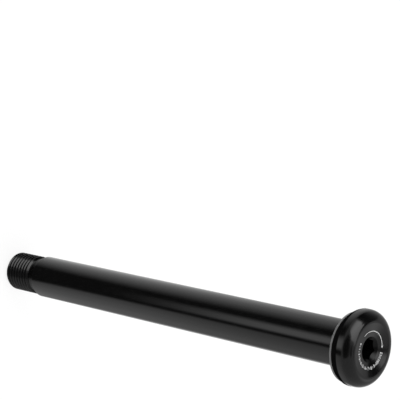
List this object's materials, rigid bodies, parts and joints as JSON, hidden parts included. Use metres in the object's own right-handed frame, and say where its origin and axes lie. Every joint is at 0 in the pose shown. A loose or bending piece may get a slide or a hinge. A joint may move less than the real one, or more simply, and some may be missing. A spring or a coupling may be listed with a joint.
{
  "type": "bicycle thru axle",
  "caption": "Black turned aluminium thru axle with a fine-threaded tip, a hollow plain shaft and a domed head with a hex socket; holds a front wheel in a fork.",
  "frame": {"origin": "centre of the end face of the threaded tip, which the axle stands on", "axes": "+Z along the axle's axis, from the threaded tip to the head; +X square to a pair of the hex socket's flats"},
  "size_m": [0.0244, 0.0244, 0.1659],
  "materials": {
    "black_anodised": "turned and black anodised, satin gloss"
  },
  "bodies": {
    "root": {"axle": "black_anodised"}
  },
  "joints": []
}
